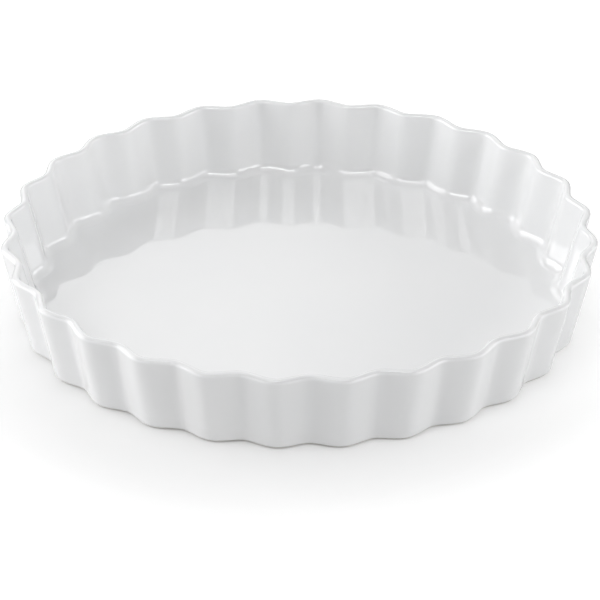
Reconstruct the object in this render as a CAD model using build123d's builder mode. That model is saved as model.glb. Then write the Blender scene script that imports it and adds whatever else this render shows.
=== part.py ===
"""Fluted quiche dish: a fired porcelain body, the glaze coat over it and the glazed patch beneath it."""
from build123d import *
from math import atan2, cos, radians, sin, tan
import os

os.makedirs("parts", exist_ok=True)

# Driving dimensions, in millimetres and degrees. Z = 0 is the table, and Z is the dish's axis.
height = 40.0
floor_height = 5.0

# The rim and the foot, each measured across the crests of the flutes.
rim_diameter = 280.0
foot_diameter = 262.6

# The flutes: how many, how far their flat flanks turn from the crest, and the share of a flute's width
# at the foot that one flank takes up.
flute_count = 28
flank_angle = 23.4
flank_share = 0.306

# The wall thins from the foot to the rim.
foot_wall = 5.0
rim_wall = 3.6

# The glaze coat. It stops where the foot's edge begins to round, and leaves the foot bare.
glaze = 0.6

# The foot's rounded edge, and the number of conical bands that make up each rounded edge.
foot_round = 1.8
foot_bands = 1
rim_bands = 2
floor_bands = 2

# The rim's rounding cuts into the body's square edge by this share of the glaze's thickness, and the
# floor's rounding takes up this share of the flutes' inner crest arcs.
rim_cut_share = 0.88
floor_corner_share = 0.72

# The underside is set back inside a bare foot ring, measured from the crests, and its glaze stops short.
foot_ring_width = 10.0
underside_recess = 1.0
wiped_margin = 1.0

rim_radius = rim_diameter / 2
foot_radius = foot_diameter / 2
outer_draft = atan2(rim_radius - foot_radius, height)
inner_draft = atan2((rim_radius - rim_wall) - (foot_radius - foot_wall), height)

# A flute spans one pitch round the axis. Its flanks turn a crest by one angle and a valley by another.
pitch = 360 / flute_count
half_pitch = radians(pitch / 2)
crest_turn = radians(flank_angle)
valley_turn = crest_turn - half_pitch
arc_spread = sin(half_pitch) + 2 * sin(valley_turn)
flank_width = flank_share * foot_diameter * sin(half_pitch)


def blend(foot_value, rim_value, level):
    """Value at a height above the table, between its value at the foot and its value at the rim."""
    return foot_value + (rim_value - foot_value) * level / height


def half_wall(level):
    """Half of the wall's thickness at a height above the table."""
    return blend(foot_wall, rim_wall, level) / 2


def crest_distance(level):
    """Distance of the middle line's crests from the axis, at a height above the table."""
    return blend(foot_radius, rim_radius, level) - half_wall(level)


def arc_radius(level):
    """Radius of the crest and valley arcs on the wall's middle line, at a height above the table."""
    return (crest_distance(level) * sin(half_pitch) - flank_width * cos(valley_turn)) / arc_spread


def mirrored(point):
    """The point's mirror image across the crest that lies on the X axis."""
    return Vector(point.X, -point.Y)


def fluted_outline(level, offset):
    """Closed fluted outline at a height above the table, offset outward from the wall's middle line.

    Crests and valleys are arcs of one radius on the middle line, and the flanks are straight lines
    tangent to both, as wide and as steep at every height. So the arcs follow from the crests' distance
    from the axis, each flank is a flat face, and an offset outline keeps the arcs' centres.
    """
    middle_round = arc_radius(level)
    crest_centre = Vector(crest_distance(level) - middle_round, 0)
    across_flank = 2 * middle_round * sin(crest_turn) + flank_width * cos(crest_turn)
    valley_centre = Vector(across_flank / sin(half_pitch), 0).rotate(Axis.Z, pitch / 2)
    flank_normal = Vector(cos(crest_turn), sin(crest_turn))
    valley_normal = Vector(1, 0).rotate(Axis.Z, pitch / 2)

    crest = Vector(crest_distance(level) + offset, 0)
    flank_start = crest_centre + flank_normal * (middle_round + offset)
    flank_end = valley_centre - flank_normal * (middle_round - offset)
    valley = valley_centre - valley_normal * (middle_round - offset)
    far_flank_end = mirrored(flank_end).rotate(Axis.Z, pitch)
    far_flank_start = mirrored(flank_start).rotate(Axis.Z, pitch)

    with BuildLine(mode=Mode.PRIVATE) as flute:
        ThreePointArc(mirrored(flank_start), crest, flank_start)
        Line(flank_start, flank_end)
        ThreePointArc(flank_end, valley, far_flank_end)
        Line(far_flank_end, far_flank_start)
    return [flute.line.rotate(Axis.Z, pitch * flute_number) for flute_number in range(flute_count)]


def outer_outline(level, inset):
    """Outline of the wall's outer side, moved in towards the dish's axis by the inset."""
    return fluted_outline(level, half_wall(level) - inset)


def inner_outline(level, inset):
    """Outline of the wall's inner side, moved in towards the dish's axis by the inset."""
    return fluted_outline(level, -half_wall(level) - inset)


def rounded_edge(radius, tilt, bands):
    """Sections of a rounded edge between a drafted wall and a level face, from the wall to the face.

    The tilt is the angle that the wall's face is turned towards the level face. Each section is its
    distance from the level face and the distance that the rounded edge takes it off the wall.
    """
    sections = []
    for band in range(bands + 1):
        turn = tilt + (radians(90) - tilt) * band / bands
        sections.append((radius * (1 - sin(turn)), radius * (1 / cos(tilt) - tan(tilt) * sin(turn) - cos(turn))))
    return sections


def corner_cut(radius, tilt, bands):
    """How far a rounded edge cuts into its corner, at the place where it does so as much down as across."""
    sections = rounded_edge(radius, tilt, bands)
    for (drop, inset), (next_drop, next_inset) in zip(sections, sections[1:]):
        if next_inset >= next_drop:
            band_share = (drop - inset) / (drop - inset + next_inset - next_drop)
            return drop + (next_drop - drop) * band_share


# The rim is as round as the coat allows over the body's square edge, on the side that is cut more.
# A radius as large as the glaze's thickness is tried, and the cut grows in step with the radius.
tried_cut = max(corner_cut(glaze, -outer_draft, rim_bands), corner_cut(glaze, inner_draft, rim_bands))
rim_round = rim_cut_share * glaze * glaze / tried_cut

# The floor's rounding leaves a small arc of each inner crest where it meets the floor.
inner_crest_round = arc_radius(floor_height) - half_wall(floor_height)
floor_round = floor_corner_share * inner_crest_round / (1 / cos(inner_draft) - tan(inner_draft))

# Heights and insets of the sections that the walls are lofted through, from the lowest up.
rim_outer_sections = [(height - drop, inset) for drop, inset in rounded_edge(rim_round, -outer_draft, rim_bands)]
rim_inner_sections = [(height - drop, -inset) for drop, inset in rounded_edge(rim_round, inner_draft, rim_bands)]
floor_sections = [
    (floor_height + rise, inset) for rise, inset in reversed(rounded_edge(floor_round, inner_draft, floor_bands))
]
foot_sections = [
    (rise, glaze + inset) for rise, inset in reversed(rounded_edge(foot_round, outer_draft, foot_bands))
]
glaze_line_height = foot_sections[-1][0]
recess_radius = foot_radius - foot_ring_width

# The fired body carries everything. Its bare foot ring is all that touches the table, and its own
# corner between wall and floor is square, because the glaze pools there and rounds it.
with BuildPart() as porcelain_body:
    for level, inset in foot_sections + [(height - glaze, glaze)]:
        with BuildSketch(Plane.XY.offset(level)):
            make_face(outer_outline(level, inset))
    loft(ruled=True)
    for level in [floor_height - glaze, height - glaze]:
        with BuildSketch(Plane.XY.offset(level)):
            make_face(inner_outline(level, -glaze))
    loft(ruled=True, mode=Mode.SUBTRACT)
    with BuildSketch(Plane.XY):
        Circle(recess_radius)
    extrude(amount=underside_recess, mode=Mode.SUBTRACT)

# The glaze runs over the floor, up the inside, round the rim and down to just above the foot. It stays
# out of the set-back underside, however low the foot's edge begins to round.
with BuildPart() as glaze_coat:
    for level, inset in [(glaze_line_height, 0)] + rim_outer_sections:
        with BuildSketch(Plane.XY.offset(level)):
            make_face(outer_outline(level, inset))
    loft(ruled=True)
    for level, inset in floor_sections + rim_inner_sections:
        with BuildSketch(Plane.XY.offset(level)):
            make_face(inner_outline(level, inset))
    loft(ruled=True, mode=Mode.SUBTRACT)
    add(porcelain_body.part, mode=Mode.SUBTRACT)
    with BuildSketch(Plane.XY):
        Circle(recess_radius)
    extrude(amount=underside_recess, mode=Mode.SUBTRACT)

# The underside is glazed too, up to the margin that is wiped clean beside the foot ring.
with BuildPart() as underside_glaze:
    with BuildSketch(Plane.XY.offset(underside_recess - glaze)):
        Circle(recess_radius - wiped_margin)
    extrude(amount=glaze)

porcelain_body.part.label = "porcelain_body"
glaze_coat.part.label = "glaze_coat"
underside_glaze.part.label = "underside_glaze"

export_step(porcelain_body.part, "parts/porcelain_body.step")
export_step(glaze_coat.part, "parts/glaze_coat.step")
export_step(underside_glaze.part, "parts/underside_glaze.step")
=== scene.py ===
"""Looks of a fluted quiche dish: white glaze over porcelain, a pale table, soft boxes and a long lens."""
import logging
from dataclasses import dataclass
from enum import Enum
from math import pi, radians

import bpy
import numpy as np
from mathutils import Matrix, Vector


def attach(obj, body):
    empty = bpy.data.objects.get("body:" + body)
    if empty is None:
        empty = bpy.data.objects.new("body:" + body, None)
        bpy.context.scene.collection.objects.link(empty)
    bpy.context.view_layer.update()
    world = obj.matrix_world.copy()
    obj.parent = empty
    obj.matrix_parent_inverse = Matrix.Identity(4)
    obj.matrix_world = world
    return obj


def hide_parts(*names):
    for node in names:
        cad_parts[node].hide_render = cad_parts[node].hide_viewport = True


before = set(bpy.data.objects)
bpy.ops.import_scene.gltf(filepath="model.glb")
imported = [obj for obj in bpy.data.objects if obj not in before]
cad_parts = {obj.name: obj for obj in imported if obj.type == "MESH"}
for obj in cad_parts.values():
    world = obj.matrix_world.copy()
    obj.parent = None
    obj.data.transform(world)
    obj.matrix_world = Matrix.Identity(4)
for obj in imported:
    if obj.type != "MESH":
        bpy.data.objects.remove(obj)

log = logging.getLogger("quiche_dish")

Tree = bpy.types.NodeTree
Socket = bpy.types.NodeSocket
Triple = tuple[float, float, float]
Span = tuple[float, float]

MM = 0.001
BODY = "root"

# Most values of a noise lie in this span.
NOISE_SPAN = (0.3, 0.7)

# Watts that an area lamp needs for each square metre of its face, for the face to read one in the render.
LAMP_POWER = 4.0


class Side(Enum):
    """The two sides of the dish's wall, each with the sign of its distance from the middle line."""

    OUTER = 1.0
    INNER = -1.0


class Slope(Enum):
    """How a ramp goes from its low to its high value, by the name that its node has for it."""

    STRAIGHT = "LINEAR"
    SMOOTH = "SMOOTHSTEP"


class Operation(Enum):
    """What a node works out from its two inputs, by the name that it has for it."""

    SUM = "ADD"
    PRODUCT = "MULTIPLY"
    LARGER = "MAXIMUM"
    DISTANCE = "DISTANCE"


@dataclass(frozen=True)
class FlutedWall:
    """The flared, fluted wall as a family of outlines, one for every height above the table.

    Lengths are in metres. A foot size holds at the table and a rim size at the rim, and sizes in between
    run straight from one to the other. The depths are those of the flutes, from crest to valley.
    """

    height: float = 40.0 * MM
    rim_radius: float = 139.95 * MM
    foot_radius: float = 131.3 * MM
    rim_wall: float = 3.6 * MM
    foot_wall: float = 5.0 * MM
    rim_depth: float = 4.4 * MM
    foot_depth: float = 3.9 * MM
    flutes: int = 28
    crispness: float = 0.023

    def between(self, foot_value: float, rim_value: float, level: np.ndarray) -> np.ndarray:
        """Value at a height above the table, on the straight run from the foot to the rim."""
        return foot_value + (rim_value - foot_value) * level / self.height

    def thickness(self, level: np.ndarray) -> np.ndarray:
        """Thickness of the wall at a height above the table."""
        return self.between(self.foot_wall, self.rim_wall, level)

    def draft(self, side: Side) -> float:
        """Lean of a side of the wall, the angle whose tangent is its flare over its height.

        Args:
            side: the outer or the inner side.

        Returns:
            The angle in radians by which the side leans outwards.
        """
        flare = self.rim_radius - self.foot_radius
        if side is Side.INNER:
            flare -= self.rim_wall - self.foot_wall
        return float(np.arctan2(flare, self.height))

    def outline(self, level: np.ndarray, offset: np.ndarray, angle: np.ndarray) -> np.ndarray:
        """Points of the outlines that lie a distance outside the wall's middle line.

        The middle line's radius is a cosine wave round the axis with a little of its third harmonic, which
        sharpens it, and its crests lie half a wall inside the outer crests. A point of an outline is the
        point of the middle line plus the offset times the line's outward unit normal, which is R times
        the radial direction less dR/dangle times the tangential one, over the length of that sum.

        Args:
            level: heights above the table, one per row.
            offset: distances outside the middle line, one per row.
            angle: angles round the axis, one per column.

        Returns:
            Array of rows by columns by 3.
        """
        level, offset, angle = level[:, None], offset[:, None], angle[None, :]
        crest = self.between(self.foot_radius, self.rim_radius, level) - self.thickness(level) / 2
        swing = self.between(self.foot_depth, self.rim_depth, level) / 2
        phase = self.flutes * angle
        wave = np.cos(phase) + self.crispness * np.cos(3 * phase)
        slope = -self.flutes * (np.sin(phase) + 3 * self.crispness * np.sin(3 * phase))
        radius = crest - swing * (1 + self.crispness) + swing * wave
        change = swing * slope
        length = np.hypot(radius, change)
        x = radius * np.cos(angle) + offset * (radius * np.cos(angle) + change * np.sin(angle)) / length
        y = radius * np.sin(angle) + offset * (radius * np.sin(angle) - change * np.cos(angle)) / length
        return np.stack([x, y, np.broadcast_to(level, x.shape)], axis=-1)

    def side_outline(
        self, side: Side, level: np.ndarray, inset: np.ndarray, angle: np.ndarray
    ) -> np.ndarray:
        """Points on a side of the wall, sunk into the wall by the inset, or off it if that is negative."""
        return self.outline(level, side.value * (self.thickness(level) / 2 - inset), angle)


def rounded_edge(radius: float, tilt: float, steps: int) -> tuple[np.ndarray, np.ndarray]:
    """Arc between a wall and a level face, from the wall to the face.

    At a turn t, from the tilt to a right angle, the arc lies radius * (1 - sin t) from the level face,
    and radius * (1 / cos tilt - tan tilt * sin t - cos t) off the wall, measured along the level.

    Args:
        radius: the arc's radius.
        tilt: angle, in radians, that the wall's face is turned towards the level face.
        steps: number of stretches that the arc is divided into.

    Returns:
        The distances from the level face, and the distances off the wall.
    """
    turn = np.linspace(tilt, pi / 2, steps + 1)
    drop = radius * (1 - np.sin(turn))
    inset = radius * (1 / np.cos(tilt) - np.tan(tilt) * np.sin(turn) - np.cos(turn))
    return drop, inset


def circles(radius: np.ndarray, level: np.ndarray, angle: np.ndarray) -> np.ndarray:
    """Level rings round the axis, with points at radius * cos angle, radius * sin angle and the level.

    Args:
        radius: radii, one per ring.
        level: heights above the table, one per ring.
        angle: angles round the axis, one per column.

    Returns:
        Array of rings by columns by 3.
    """
    x, y = radius[:, None] * np.cos(angle), radius[:, None] * np.sin(angle)
    return np.stack([x, y, np.broadcast_to(level[:, None], x.shape)], axis=-1)


def circle(radius: float, level: float, angle: np.ndarray) -> np.ndarray:
    """One level ring of points round the axis."""
    return circles(np.array([radius]), np.array([level]), angle)[0]


def across(first: np.ndarray, last: np.ndarray, shares: tuple[float, ...]) -> np.ndarray:
    """Rings on the straight way from one ring to another, at shares of it."""
    return first + (last - first) * np.array(shares)[:, None, None]


def to_the_axis(ring: np.ndarray, shares: tuple[float, ...]) -> np.ndarray:
    """Level rings inside a ring, each its outline times a share of its distance from the axis.

    Args:
        ring: array of columns by 3.
        shares: one for each ring, in their order.

    Returns:
        Array of rings by columns by 3.
    """
    rings = ring[None, :, :] * np.array(shares)[:, None, None]
    rings[:, :, 2] = ring[None, :, 2]
    return rings


def new_object(name: str, data: bpy.types.ID) -> bpy.types.Object:
    """Object with a mesh, a lamp or a camera in it, put into the scene at the origin.

    Args:
        name: the object's name.
        data: what it holds.

    Returns:
        The object.
    """
    thing = bpy.data.objects.new(name, data)
    bpy.context.scene.collection.objects.link(thing)
    return thing


def closed_shell(name: str, rings: np.ndarray) -> bpy.types.Object:
    """Closed surface through rings round the axis, from a pole inside the first to a pole inside the last.

    Each ring is joined to the next by a band of quads that closes on itself, and the first and the last
    ring to a point on the axis by a fan. The faces are turned round if the volume inside them, the sum
    of the triple products of their corners over six, comes out negative.

    Args:
        name: the piece's name.
        rings: array of rings by columns by 3.

    Returns:
        The piece's object, at the origin, with its place in its mesh.
    """
    rows, columns = rings.shape[:2]
    poles = np.array([[0, 0, rings[0, 0, 2]], [0, 0, rings[-1, 0, 2]]])
    vertices = np.concatenate([rings.reshape(-1, 3), poles])
    here = np.arange(columns)
    following = np.roll(here, -1)
    row = (np.arange(rows - 1) * columns)[:, None]
    above = row + columns
    quads = np.stack([row + here, row + following, above + following, above + here], axis=-1)
    quads = quads.reshape(-1, 4)
    first_fan = np.stack([np.full(columns, rows * columns), following, here], axis=-1)
    last = (rows - 1) * columns
    last_fan = np.stack([np.full(columns, rows * columns + 1), last + here, last + following], axis=-1)
    fans = np.concatenate([first_fan, last_fan])

    triangles = np.concatenate([quads[:, [0, 1, 2]], quads[:, [0, 2, 3]], fans])
    corners = vertices[triangles]
    volume = np.einsum("ij,ij->i", corners[:, 0], np.cross(corners[:, 1], corners[:, 2])).sum() / 6
    if volume < 0:
        quads, fans = quads[:, ::-1], fans[:, ::-1]

    loops = np.concatenate([quads.ravel(), fans.ravel()])
    sizes = np.concatenate([np.full(len(quads), 4), np.full(len(fans), 3)])
    starts = np.concatenate([[0], np.cumsum(sizes)[:-1]])
    mesh = bpy.data.meshes.new(name)
    mesh.vertices.add(len(vertices))
    mesh.vertices.foreach_set("co", vertices.ravel())
    mesh.loops.add(len(loops))
    mesh.loops.foreach_set("vertex_index", loops)
    mesh.polygons.add(len(sizes))
    mesh.polygons.foreach_set("loop_start", starts)
    mesh.polygons.foreach_set("use_smooth", np.ones(len(sizes), dtype=bool))
    mesh.update(calc_edges=True)
    mesh.validate()
    return new_object(name, mesh)


def empty_material(name: str) -> tuple[bpy.types.Material, Tree, Socket]:
    """Node material that has an output and nothing else.

    Args:
        name: the material's name.

    Returns:
        The material, its tree of nodes, and the input that its surface's shader goes to.
    """
    material = bpy.data.materials.new(name)
    material.use_nodes = True
    tree = material.node_tree
    tree.nodes.clear()
    output = tree.nodes.new("ShaderNodeOutputMaterial")
    return material, tree, output.inputs["Surface"]


def add_node(tree: Tree, kind: str, inputs: dict, **settings: str) -> bpy.types.Node:
    """New node with its settings made and its inputs filled.

    Args:
        tree: the tree that gets the node.
        kind: the node's type.
        inputs: for the name or number of an input, the socket that is linked to it or its plain value.
        settings: choices on the node itself, made first, because some of them change its inputs.

    Returns:
        The node.
    """
    node = tree.nodes.new(kind)
    for setting, choice in settings.items():
        setattr(node, setting, choice)
    for key, source in inputs.items():
        if isinstance(source, Socket):
            tree.links.new(source, node.inputs[key])
        else:
            node.inputs[key].default_value = source
    return node


def object_place(tree: Tree) -> Socket:
    """Place of the shaded point in its object's own coordinates."""
    return tree.nodes.new("ShaderNodeTexCoord").outputs["Object"]


def calculate(tree: Tree, operation: Operation, first: Socket | float, second: Socket | float) -> Socket:
    """What an operation makes of two numbers."""
    node = add_node(tree, "ShaderNodeMath", {0: first, 1: second}, operation=operation.value)
    return node.outputs["Value"]


def ramp(tree: Tree, source: Socket, source_span: Span, span: Span, slope: Slope) -> Socket:
    """Value that follows a source, and stays at its own ends where the source leaves its span.

    Args:
        tree: the tree that gets the node.
        source: the value to follow.
        source_span: the source's values at the ramp's two ends.
        span: the ramp's own values there.
        slope: how the ramp goes from one end to the other.

    Returns:
        The ramp's value.
    """
    start, end = source_span
    low, high = span
    inputs = {"Value": source, "From Min": start, "From Max": end, "To Min": low, "To Max": high}
    return add_node(tree, "ShaderNodeMapRange", inputs, interpolation_type=slope.value).outputs["Result"]


def noise(tree: Tree, wavelength: float, detail: float = 1.0) -> Socket:
    """Noise on object coordinates.

    Args:
        tree: the tree that gets the nodes.
        wavelength: about how wide its lumps are, in metres.
        detail: how many times finer lumps are laid over them.

    Returns:
        The noise, which lies about one half.
    """
    inputs = {"Vector": object_place(tree), "Scale": 1 / wavelength, "Detail": detail}
    return add_node(tree, "ShaderNodeTexNoise", inputs).outputs["Fac"]


def spread(tree: Tree, source: Socket, low: float, high: float) -> Socket:
    """A noise's usual values, spread over the range from low to high."""
    return ramp(tree, source, NOISE_SPAN, (low, high), Slope.STRAIGHT)


def mottled(tree: Tree, source: Socket, first: Triple, second: Triple) -> Socket:
    """Colour that wanders between two colours as a noise does.

    Args:
        tree: the tree that gets the nodes.
        source: the noise.
        first: the colour where the noise is low.
        second: the colour where it is high.

    Returns:
        The colour.
    """
    inputs = {"Factor": spread(tree, source, 0.0, 1.0), "A": (*first, 1.0), "B": (*second, 1.0)}
    return add_node(tree, "ShaderNodeMix", inputs, data_type="RGBA").outputs["Result"]


def bump(tree: Tree, source: Socket, rise: float, under: Socket | None = None) -> Socket:
    """Fine relief on a surface.

    Args:
        tree: the tree that gets the node.
        source: the relief's height, from zero to one.
        rise: what a height of one comes to, in metres.
        under: the relief that this one lies on, if there is one.

    Returns:
        The surface's normal with the relief on it.
    """
    inputs = {"Height": source, "Distance": rise}
    if under is not None:
        inputs["Normal"] = under
    return add_node(tree, "ShaderNodeBump", inputs).outputs["Normal"]


def by_ray(tree: Tree, unseen: Socket, seen: Socket, mirrored_share: float) -> Socket:
    """Mix of two shaders that depends on what meets it.

    Camera rays meet the seen shader, rays of reflections and through glass a share of it, and all other
    light the unseen one.

    Args:
        tree: the tree that gets the nodes.
        unseen: the shader for the light of the scene.
        seen: the shader for the eye.
        mirrored_share: the share of the seen shader in reflections and through glass.

    Returns:
        The mixed shader.
    """
    ray = tree.nodes.new("ShaderNodeLightPath").outputs
    mirrored = calculate(tree, Operation.LARGER, ray["Is Glossy Ray"], ray["Is Transmission Ray"])
    dimmed = calculate(tree, Operation.PRODUCT, mirrored, mirrored_share)
    share = calculate(tree, Operation.LARGER, ray["Is Camera Ray"], dimmed)
    return add_node(tree, "ShaderNodeMixShader", {"Fac": share, 1: unseen, 2: seen}).outputs["Shader"]


@dataclass(frozen=True)
class WhiteGlaze:
    """Clear glossy glaze over white porcelain: faint clouds of tone, slow ripples and a fine orange peel.

    Cloud, ripple, peel and polish are the widths of their lumps, and a rise is the height of a relief,
    all in metres. The roughness varies with the polish, between the sharpest and the dullest.
    """

    name: str = "white_glaze"
    thin: Triple = (0.800, 0.803, 0.806)
    thick: Triple = (0.786, 0.792, 0.798)
    cloud: float = 55 * MM
    cloud_detail: float = 2.0
    ripple: float = 38 * MM
    ripple_rise: float = 0.05 * MM
    peel: float = 2.6 * MM
    peel_rise: float = 0.0016 * MM
    polish: float = 27.5 * MM
    sharpest: float = 0.02
    dullest: float = 0.05
    refraction: float = 1.65

    def material(self) -> bpy.types.Material:
        """The finish as a material.

        Returns:
            The material.
        """
        material, tree, surface = empty_material(self.name)
        clouds = noise(tree, self.cloud, self.cloud_detail)
        ripples = bump(tree, noise(tree, self.ripple), self.ripple_rise)
        glazed = {
            "Base Color": mottled(tree, clouds, self.thin, self.thick),
            "Roughness": spread(tree, noise(tree, self.polish), self.sharpest, self.dullest),
            "Normal": bump(tree, noise(tree, self.peel), self.peel_rise, ripples),
            "IOR": self.refraction,
        }
        tree.links.new(add_node(tree, "ShaderNodeBsdfPrincipled", glazed).outputs["BSDF"], surface)
        return material


@dataclass(frozen=True)
class BarePorcelain:
    """Unglazed fired porcelain: dry, fine-grained, with a little grey rubbed into it by shelves.

    Stain and grain are the widths of their lumps, and the grain's rise is its height, all in metres. The
    roughness varies with the grain, between the smoothest and the roughest.
    """

    name: str = "bare_porcelain"
    clean: Triple = (0.70, 0.69, 0.66)
    rubbed: Triple = (0.55, 0.54, 0.51)
    stain: float = 14 * MM
    stain_detail: float = 4.0
    grain: float = 0.5 * MM
    grain_detail: float = 3.0
    grain_rise: float = 0.02 * MM
    smoothest: float = 0.6
    roughest: float = 0.8

    def material(self) -> bpy.types.Material:
        """The finish as a material.

        Returns:
            The material.
        """
        material, tree, surface = empty_material(self.name)
        stains = noise(tree, self.stain, self.stain_detail)
        grains = noise(tree, self.grain, self.grain_detail)
        fired = {
            "Base Color": mottled(tree, stains, self.clean, self.rubbed),
            "Roughness": spread(tree, grains, self.smoothest, self.roughest),
            "Normal": bump(tree, grains, self.grain_rise),
        }
        tree.links.new(add_node(tree, "ShaderNodeBsdfPrincipled", fired).outputs["BSDF"], surface)
        return material


@dataclass(frozen=True)
class PaleTable:
    """Matt pale table with the dish's real shadow and a painted shadow in front of it, lifted to white
    farther off.

    The scene's light meets a matt pale face. The camera, and reflections in part, see a darker one with
    a glow added, which is weakest round a middle spot in front of the dish's own middle. This dip is a
    painted shadow that darkens the table there beyond its real shade. The glow rises to the far glow
    about the dish, and to the distant glow where the soft boxes' light runs out. Lengths are in metres,
    and reflectances and glows are shares of white.
    """

    name: str = "pale_table"
    reflectance: float = 0.80
    seen_reflectance: float = 0.50
    # The glow is least within the near distance of the middle spot, which paints a shadow on the table in
    # front of the dish.
    glow_in_painted_shadow: float = 0.28
    far_glow: float = 0.62
    distant_glow: float = 1.0
    near: float = 90.0 * MM
    far: float = 172.0 * MM
    distant: float = 1500.0 * MM
    # Middle spot of the painted shadow, a little in front of the dish's own middle.
    middle: Triple = (-15.0 * MM, -36.0 * MM, 0.0)
    mirrored_share: float = 0.4

    def glow(self, tree: Tree) -> Socket:
        """Strength of the glow: the low glow of the painted shadow, its rise to the far one, and that one's
        rise farther off.

        Args:
            tree: the tree that gets the nodes.

        Returns:
            The strength.
        """
        away = add_node(
            tree, "ShaderNodeVectorMath", {0: object_place(tree), 1: self.middle},
            operation=Operation.DISTANCE.value,
        ).outputs["Value"]
        strength = self.glow_in_painted_shadow
        for start, end, low, high in (
            (self.near, self.far, self.glow_in_painted_shadow, self.far_glow),
            (self.far, self.distant, self.far_glow, self.distant_glow),
        ):
            rise = ramp(tree, away, (start, end), (0.0, high - low), Slope.STRAIGHT)
            strength = calculate(tree, Operation.SUM, strength, rise)
        return strength

    def matt(self, tree: Tree, reflectance: float) -> Socket:
        """Matt grey shader of a reflectance."""
        colour = (reflectance, reflectance, reflectance, 1.0)
        return add_node(tree, "ShaderNodeBsdfDiffuse", {"Color": colour}).outputs["BSDF"]

    def material(self) -> bpy.types.Material:
        """The finish as a material.

        Returns:
            The material.
        """
        material, tree, surface = empty_material(self.name)
        # The glow lifts the table to white for the eye, and its dip near the dish paints a shadow there,
        # beyond the real one.
        glow = add_node(tree, "ShaderNodeEmission", {"Strength": self.glow(tree)}).outputs["Emission"]
        seen_matt = self.matt(tree, self.seen_reflectance)
        seen = add_node(tree, "ShaderNodeAddShader", {0: seen_matt, 1: glow}).outputs["Shader"]
        unseen = self.matt(tree, self.reflectance)
        tree.links.new(by_ray(tree, unseen, seen, self.mirrored_share), surface)
        return material


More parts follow.
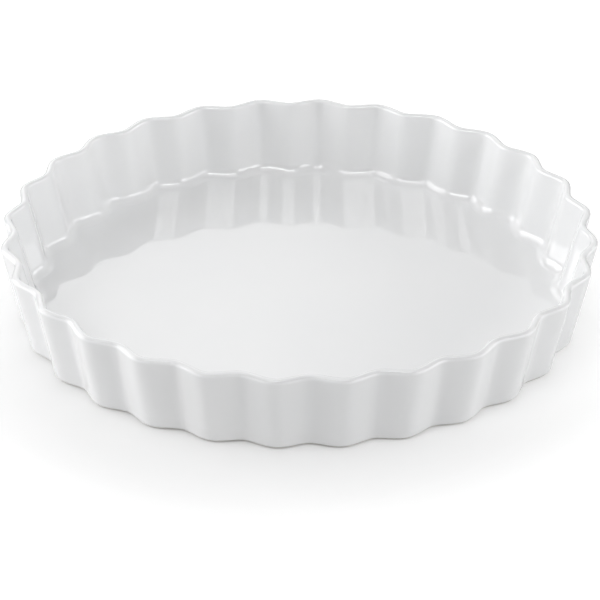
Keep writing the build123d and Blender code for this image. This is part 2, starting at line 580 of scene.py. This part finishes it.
@dataclass(frozen=True)
class QuicheDish:
    """The dish: its porcelain body, the glaze coat over it and the glazed patch beneath it.

    Lengths are in metres. Steps and rows say how finely a stretch of a skin is divided. Shares say where
    rings lie on a level face, as parts of the distance from the axis to the face's edge, except those of
    the foot's face, which run from the foot's rounded edge to the set-back underside.
    """

    wall: FlutedWall = FlutedWall()
    floor_height: float = 5.0 * MM
    glaze: float = 0.6 * MM
    rim_round: float = 1.7 * MM
    floor_round: float = 5.7 * MM
    foot_round: float = 1.8 * MM
    foot_ring_width: float = 10.0 * MM
    underside_recess: float = 1.0 * MM
    recess_round: float = 1.0 / 3 * MM
    wiped_margin: float = 1.0 * MM

    columns_per_flute: int = 42
    wall_rows: int = 11
    body_rows: int = 6
    hidden_rows: int = 4
    rim_steps: int = 9
    floor_steps: int = 14
    foot_steps: int = 8
    glaze_steps: int = 5
    recess_steps: int = 4
    floor_shares: tuple[float, ...] = (0.06, 0.2, 0.4, 0.6, 0.8, 0.93, 0.985, 0.998)
    patch_shares: tuple[float, ...] = (0.06, 0.2, 0.4, 0.6, 0.8, 0.95)
    patch_back_shares: tuple[float, ...] = (0.99, 0.6, 0.06)
    underside_shares: tuple[float, ...] = (1.0, 0.99, 0.8, 0.4, 0.06)
    hidden_shares: tuple[float, ...] = (0.06, 0.4, 0.8)
    foot_face_shares: tuple[float, ...] = (0.05, 0.5, 0.92)

    # A ring this close to a sharp corner keeps the shading beside it straight.
    corner_margin: float = 0.15 * MM

    @property
    def angle(self) -> np.ndarray:
        """Angles of the columns of points round the axis."""
        columns = self.columns_per_flute * self.wall.flutes
        return np.arange(columns) * 2 * pi / columns

    @property
    def glaze_line(self) -> float:
        """Height above the table where the foot's edge begins to round and the glaze stops."""
        return float(rounded_edge(self.foot_round, self.wall.draft(Side.OUTER), 1)[0][0])

    @property
    def body_top(self) -> float:
        """Height of the body's rim under the glaze."""
        return self.wall.height - self.glaze

    @property
    def body_floor(self) -> float:
        """Height of the body's floor under the glaze."""
        return self.floor_height - self.glaze

    @property
    def recess_radius(self) -> float:
        """Radius of the set-back underside inside the foot ring."""
        return self.wall.foot_radius - self.foot_ring_width

    def run(self, side: Side, start: float, end: float, inset: float, rows: int) -> np.ndarray:
        """Rings up or down a side of the wall, at shares (1 - cos t) / 2 of the way, t from zero to pi.

        So they are closer together at both ends, which keeps the shading of the side straight.

        Args:
            side: the outer or the inner side.
            start: height of the first ring.
            end: height of the last ring.
            inset: how far the rings are sunk into the wall.
            rows: number of rings.

        Returns:
            Array of rings by columns by 3.
        """
        share = (1 - np.cos(np.linspace(0, pi, rows))) / 2
        level = start + (end - start) * share
        return self.wall.side_outline(side, level, np.full_like(level, inset), self.angle)

    def rim_edge(self, side: Side) -> np.ndarray:
        """Rings over the rounded edge of the rim.

        Args:
            side: the outer or the inner side.

        Returns:
            Array of rings by columns by 3, from the side of the wall to the rim's level top.
        """
        tilt = self.wall.draft(side) * -side.value
        drop, inset = rounded_edge(self.rim_round, tilt, self.rim_steps)
        return self.wall.side_outline(side, self.wall.height - drop, inset, self.angle)

    def floor_edge(self) -> np.ndarray:
        """Rings over the rounded corner between the inner wall and the floor.

        Returns:
            Array of rings by columns by 3, from the floor to the wall.
        """
        rise, inset = rounded_edge(self.floor_round, self.wall.draft(Side.INNER), self.floor_steps)
        level = self.floor_height + rise[::-1]
        return self.wall.side_outline(Side.INNER, level, -inset[::-1], self.angle)

    def glaze_coat(self) -> bpy.types.Object:
        """The glaze as a closed skin: over the floor, up, round the rim and down, and back along the body.

        Returns:
            The piece's object.
        """
        floor_edge = self.floor_edge()
        inner_rim = self.rim_edge(Side.INNER)
        outer_rim = self.rim_edge(Side.OUTER)[::-1]
        floor = to_the_axis(floor_edge[0], self.floor_shares)
        inner = self.run(Side.INNER, floor_edge[-1, 0, 2], inner_rim[0, 0, 2], 0.0, self.wall_rows)[1:-1]
        lip_top = self.glaze_line + self.glaze
        outer = self.run(Side.OUTER, outer_rim[-1, 0, 2], lip_top, 0.0, self.wall_rows)[1:]
        rise, inset = rounded_edge(self.glaze, 0.0, self.glaze_steps)
        lip = self.wall.side_outline(Side.OUTER, self.glaze_line + rise, inset, self.angle)[1:]
        up = self.run(Side.OUTER, self.glaze_line, self.body_top, self.glaze, self.hidden_rows)[1:]
        down = self.run(Side.INNER, self.body_top, self.body_floor, self.glaze, self.hidden_rows)
        back = to_the_axis(down[-1], self.hidden_shares[::-1])
        stretches = [floor, floor_edge, inner, inner_rim, outer_rim, outer, lip, up, down, back]
        return closed_shell("glaze_over_dish", np.concatenate(stretches))

    def porcelain_body(self) -> bpy.types.Object:
        """The body as a closed skin: floor, wall and rim under the glaze, the bare foot and the underside.

        Returns:
            The piece's object.
        """
        angle = self.angle
        up = self.run(Side.INNER, self.body_floor, self.body_top, self.glaze, self.hidden_rows)
        floor = to_the_axis(up[0], self.hidden_shares)
        down = self.run(Side.OUTER, self.body_top, self.glaze_line, self.glaze, self.body_rows)
        rise, inset = rounded_edge(self.foot_round, self.wall.draft(Side.OUTER), self.foot_steps)
        foot = self.wall.side_outline(Side.OUTER, rise, self.glaze + inset, angle)[1:]
        face = across(foot[-1], circle(self.recess_radius, 0.0, angle), self.foot_face_shares)
        gap, rise = rounded_edge(self.recess_round, 0.0, self.recess_steps)
        edge = circles(self.recess_radius + gap, rise, angle)
        step = circle(self.recess_radius, self.underside_recess - self.corner_margin, angle)[None]
        underside = to_the_axis(
            circle(self.recess_radius, self.underside_recess, angle), self.underside_shares
        )
        stretches = [floor, up, down, foot, face, edge, step, underside]
        return closed_shell("porcelain_under_glaze", np.concatenate(stretches))

    def underside_glaze(self) -> bpy.types.Object:
        """The glazed patch as a thin disc with a rounded lower edge.

        Returns:
            The piece's object.
        """
        radius = self.recess_radius - self.wiped_margin
        bottom = self.underside_recess - self.glaze
        gap, rise = rounded_edge(self.glaze, 0.0, self.glaze_steps)
        edge = circles(radius - gap, bottom + rise, self.angle)
        face = to_the_axis(edge[0], self.patch_shares)
        back = to_the_axis(edge[-1], self.patch_back_shares)
        return closed_shell("glaze_under_dish", np.concatenate([face, edge, back]))

    def dress(self) -> None:
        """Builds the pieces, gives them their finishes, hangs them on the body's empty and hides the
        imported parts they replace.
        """
        glaze = WhiteGlaze().material()
        bare = BarePorcelain().material()
        for piece, node, slot, finish in (
            (self.glaze_coat(), "glaze_coat", "white_glaze", glaze),
            (self.porcelain_body(), "porcelain_body", "bare_porcelain", bare),
            (self.underside_glaze(), "underside_glaze", "white_glaze", glaze),
        ):
            piece.data.materials.append(finish)
            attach(piece, BODY)
            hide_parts(node)
            log.info("%s: %d faces, in place of %s", piece.name, len(piece.data.polygons), node)


def spot_above(bearing: float, elevation: float, distance: float) -> Vector:
    """Place at a distance from the origin, by its bearing b round the axis and its elevation e.

    It is the distance times cos e * cos b, cos e * sin b and sin e.

    Args:
        bearing: angle round the axis, in radians.
        elevation: angle above the table, in radians.
        distance: distance from the origin, in metres.

    Returns:
        The place.
    """
    reach = distance * np.cos(elevation)
    return Vector((reach * np.cos(bearing), reach * np.sin(bearing), distance * np.sin(elevation)))


@dataclass(frozen=True)
class SoftBox:
    """A rectangular soft box that faces the dish.

    Azimuth is in degrees to the left of straight behind the dish, as the camera sees it, elevation in
    degrees above the table, lengths in metres, and brightness is what its face would read in the render.
    """

    name: str
    azimuth: float
    elevation: float
    distance: float
    width: float
    height: float
    brightness: float

    def hang(self, facing: float) -> None:
        """Hangs the box.

        Args:
            facing: angle round the axis, in radians, at which straight behind the dish lies.
        """
        lamp = bpy.data.lights.new(self.name, "AREA")
        lamp.shape = "RECTANGLE"
        lamp.size = self.width
        lamp.size_y = self.height
        lamp.energy = self.brightness * LAMP_POWER * self.width * self.height
        box = new_object(self.name, lamp)
        box.location = spot_above(facing + radians(self.azimuth), radians(self.elevation), self.distance)
        box.rotation_euler = (-box.location).to_track_quat("-Z", "Y").to_euler()
        box.visible_camera = False


@dataclass(frozen=True)
class LitScreen:
    """A lit screen behind the dish, as the camera sees it, which the level glaze of the floor mirrors.

    Its brightness rises a little from its lower to its upper edge, and from right to left over a stretch
    about its middle. It fades out towards its edges. Lengths are in metres, the elevation is in degrees,
    brightness is what the middle would read in the render, and lift and tilt are shares of it.
    """

    name: str = "lit_screen"
    elevation: float = 27.0
    distance: float = 2.2
    width: float = 2.4
    height: float = 1.5
    brightness: float = 1.54
    lift: float = 0.05
    tilt: float = 0.20
    tilt_reach: float = 0.25
    soft_edge: float = 0.2

    def material(self) -> bpy.types.Material:
        """Light whose strength is the product of the rise, the tilt and the fades at the edges.

        Returns:
            The material.
        """
        material, tree, surface = empty_material(self.name)
        axes = add_node(tree, "ShaderNodeSeparateXYZ", {"Vector": object_place(tree)}).outputs
        half_width, half_height = self.width / 2, self.height / 2
        low, high = self.brightness * (1 - self.lift), self.brightness * (1 + self.lift)
        ramps = [
            ("Y", (-half_height, half_height), (low, high)),
            ("X", (-self.tilt_reach, self.tilt_reach), (1 - self.tilt, 1 + self.tilt)),
        ]
        for axis, half in (("X", half_width), ("Y", half_height)):
            ramps.append((axis, (-half, -half + self.soft_edge), (0.0, 1.0)))
            ramps.append((axis, (half - self.soft_edge, half), (1.0, 0.0)))
        strength = 1.0
        for axis, axis_span, span in ramps:
            factor = ramp(tree, axes[axis], axis_span, span, Slope.SMOOTH)
            strength = calculate(tree, Operation.PRODUCT, strength, factor)
        light = add_node(tree, "ShaderNodeEmission", {"Strength": strength})
        tree.links.new(light.outputs["Emission"], surface)
        return material

    def hang(self, facing: float) -> None:
        """Hangs the screen.

        Args:
            facing: angle round the axis, in radians, at which straight behind the dish lies.
        """
        across_half, up_half = self.width / 2, self.height / 2
        corners = [(x * across_half, y * up_half, 0) for x, y in ((-1, -1), (1, -1), (1, 1), (-1, 1))]
        sheet = bpy.data.meshes.new(self.name)
        sheet.from_pydata(corners, [], [(0, 1, 2, 3)])
        sheet.materials.append(self.material())
        screen = new_object(self.name, sheet)
        screen.location = spot_above(facing, radians(self.elevation), self.distance)
        screen.rotation_euler = screen.location.to_track_quat("Z", "Y").to_euler()
        screen.visible_camera = False


@dataclass(frozen=True)
class Studio:
    """The table, the surroundings, the lit screen, the soft boxes and the camera.

    The set is turned round the axis by the flutes' phase in the view. Lengths are in metres, apart from
    the lens and its sensor, which are in millimetres, and angles are in radians. The camera stands in
    front of the set, pitched down and rolled. Room light is the world's strength, where white is one.
    """

    flute_phase: float = radians(4.14)
    boxes: tuple[SoftBox, ...] = (
        SoftBox("key_box", 180.0, 60.0, 2.0, 1.5, 0.26, 5.8),
        SoftBox("overhead_box", 180.0, 75.0, 2.0, 1.2, 1.2, 0.85),
        SoftBox("key_box_left", 140.0, 45.0, 2.0, 0.6, 0.6, 4.2),
        SoftBox("low_box_before", 114.0, 9.0, 2.0, 1.0, 0.5, 1.2),
        SoftBox("low_box_left", 78.0, 12.0, 2.0, 1.8, 0.8, 3.7),
        SoftBox("high_box_left", 80.0, 35.0, 2.0, 1.8, 0.8, 2.1),
        SoftBox("low_box_right", -85.0, 12.0, 2.0, 1.8, 0.8, 3.0),
        SoftBox("box_right_behind", -50.0, 25.0, 2.0, 0.9, 0.9, 0.5),
        SoftBox("box_right_before", -125.0, 22.0, 2.0, 0.9, 0.9, 3.0),
    )
    room_light: float = 0.05
    mirrored_share: float = 0.2
    table: PaleTable = PaleTable()
    table_reach: float = 5.0
    table_corners: int = 96
    screen: LitScreen = LitScreen()
    focal_length: float = 182.96
    sensor: float = 36.0
    view_depth: float = 50.0
    camera_spot: Triple = (0.63 * MM, -1258.0 * MM, 716.8 * MM)
    pitch: float = 0.51725
    roll: float = 0.00791

    def table_top(self) -> None:
        """A round table top, wide enough to fill every view."""
        angle = np.arange(self.table_corners) * 2 * pi / self.table_corners
        edge = [tuple(point) for point in circle(self.table_reach, 0.0, angle)]
        top = bpy.data.meshes.new("table_top")
        top.from_pydata(edge, [], [tuple(range(self.table_corners))])
        top.materials.append(self.table.material())
        table = new_object("table_top", top)
        table.rotation_euler = (0, 0, self.flute_phase)

    def world(self) -> None:
        """Dim even room light, and white for the camera to see behind everything, dimmed in reflections."""
        world = bpy.data.worlds.new("room")
        bpy.context.scene.world = world
        world.use_nodes = True
        tree = world.node_tree
        tree.nodes.clear()
        output = tree.nodes.new("ShaderNodeOutputWorld")
        room, white = (
            add_node(
                tree, "ShaderNodeBackground", {"Color": (1.0, 1.0, 1.0, 1.0), "Strength": strength}
            ).outputs["Background"]
            for strength in (self.room_light, 1.0)
        )
        tree.links.new(by_ray(tree, room, white, self.mirrored_share), output.inputs["Surface"])

    def camera(self) -> None:
        """A long lens in front of the dish, looking down at it and rolled a little."""
        lens = bpy.data.cameras.new("long_lens")
        lens.lens = self.focal_length
        lens.sensor_width = self.sensor
        lens.clip_end = self.view_depth
        camera = new_object("long_lens", lens)
        ahead = Vector((0, np.cos(self.pitch), -np.sin(self.pitch)))
        level_right = Vector((1, 0, 0))
        level_up = Vector((0, np.sin(self.pitch), np.cos(self.pitch)))
        right = level_right * np.cos(self.roll) + level_up * np.sin(self.roll)
        up = level_up * np.cos(self.roll) - level_right * np.sin(self.roll)
        turned = Matrix((right, up, -ahead)).transposed().to_4x4()
        turned.translation = Vector(self.camera_spot)
        camera.matrix_world = Matrix.Rotation(self.flute_phase, 4, "Z") @ turned
        bpy.context.scene.camera = camera

    def set_up(self) -> None:
        """Builds the whole set."""
        straight_behind = pi / 2 + self.flute_phase
        self.table_top()
        self.world()
        for light in (self.screen, *self.boxes):
            light.hang(straight_behind)
        self.camera()
        bpy.context.scene.view_settings.view_transform = "Standard"
        log.info("set: a table, a lit screen and %d soft boxes", len(self.boxes))


def main() -> None:
    """Builds the dish and the set."""
    logging.basicConfig(level=logging.INFO, format="%(message)s")
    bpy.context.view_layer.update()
    QuicheDish().dress()
    Studio().set_up()


if __name__ == "__main__":
    main()
